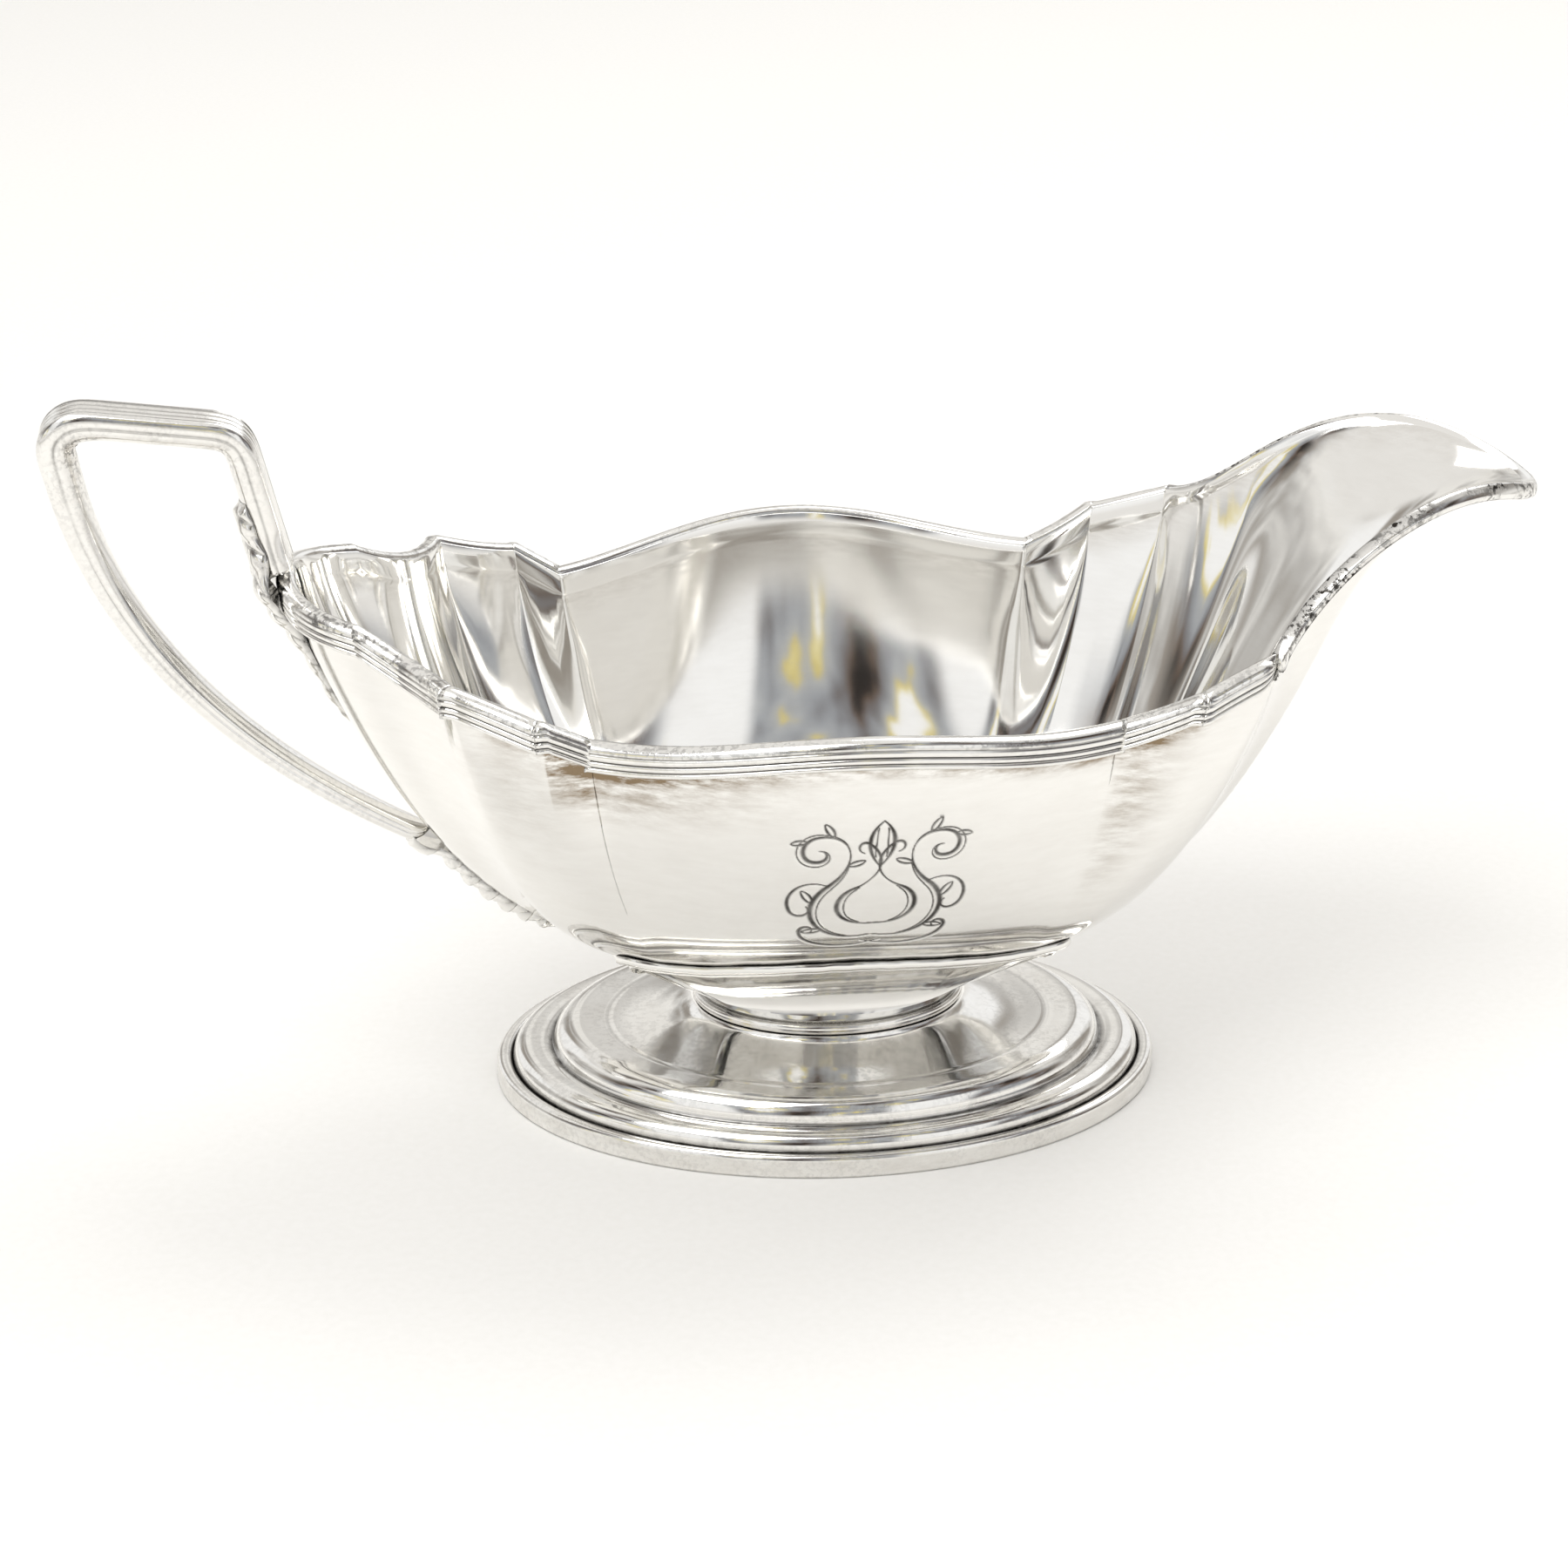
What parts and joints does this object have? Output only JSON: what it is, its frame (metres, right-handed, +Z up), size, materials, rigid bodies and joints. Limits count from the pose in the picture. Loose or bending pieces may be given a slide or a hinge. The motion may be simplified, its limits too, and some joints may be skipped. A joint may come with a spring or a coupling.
{
  "type": "silver sauce boat",
  "caption": "Panelled oval sauce boat on a stepped oval pedestal foot, with a reeded rim, an open pouring spout and an angular loop handle held by leaves.",
  "frame": {"origin": "on the table under the middle of the part's whole length and width, at the foot band's lower edge", "axes": "+X along the length towards the spout's tip, -Y towards the engraved front, +Z up"},
  "size_m": [0.1972, 0.0874, 0.0992],
  "materials": {
    "silver_sheet": "polished sterling silver sheet, lightly tarnished",
    "silver_wire": "reeded sterling silver wire, tarnish in the grooves",
    "silver_casting": "cast and chased sterling silver, tarnish in the crevices"
  },
  "bodies": {
    "root": {"bowl": "silver_sheet", "heel_wire_front": "silver_wire", "heel_wire_back": "silver_wire", "corner_wire_front": "silver_wire", "corner_wire_back": "silver_wire", "side_wire_front": "silver_wire", "side_wire_back": "silver_wire", "shoulder_wire_front": "silver_wire", "shoulder_wire_back": "silver_wire", "lip_wire": "silver_wire", "handle": "silver_casting", "upper_leaf": "silver_casting", "lower_leaf": "silver_casting", "collar": "silver_sheet", "stem_ring": "silver_casting", "foot_shell": "silver_sheet", "foot_band": "silver_casting"}
  },
  "joints": []
}
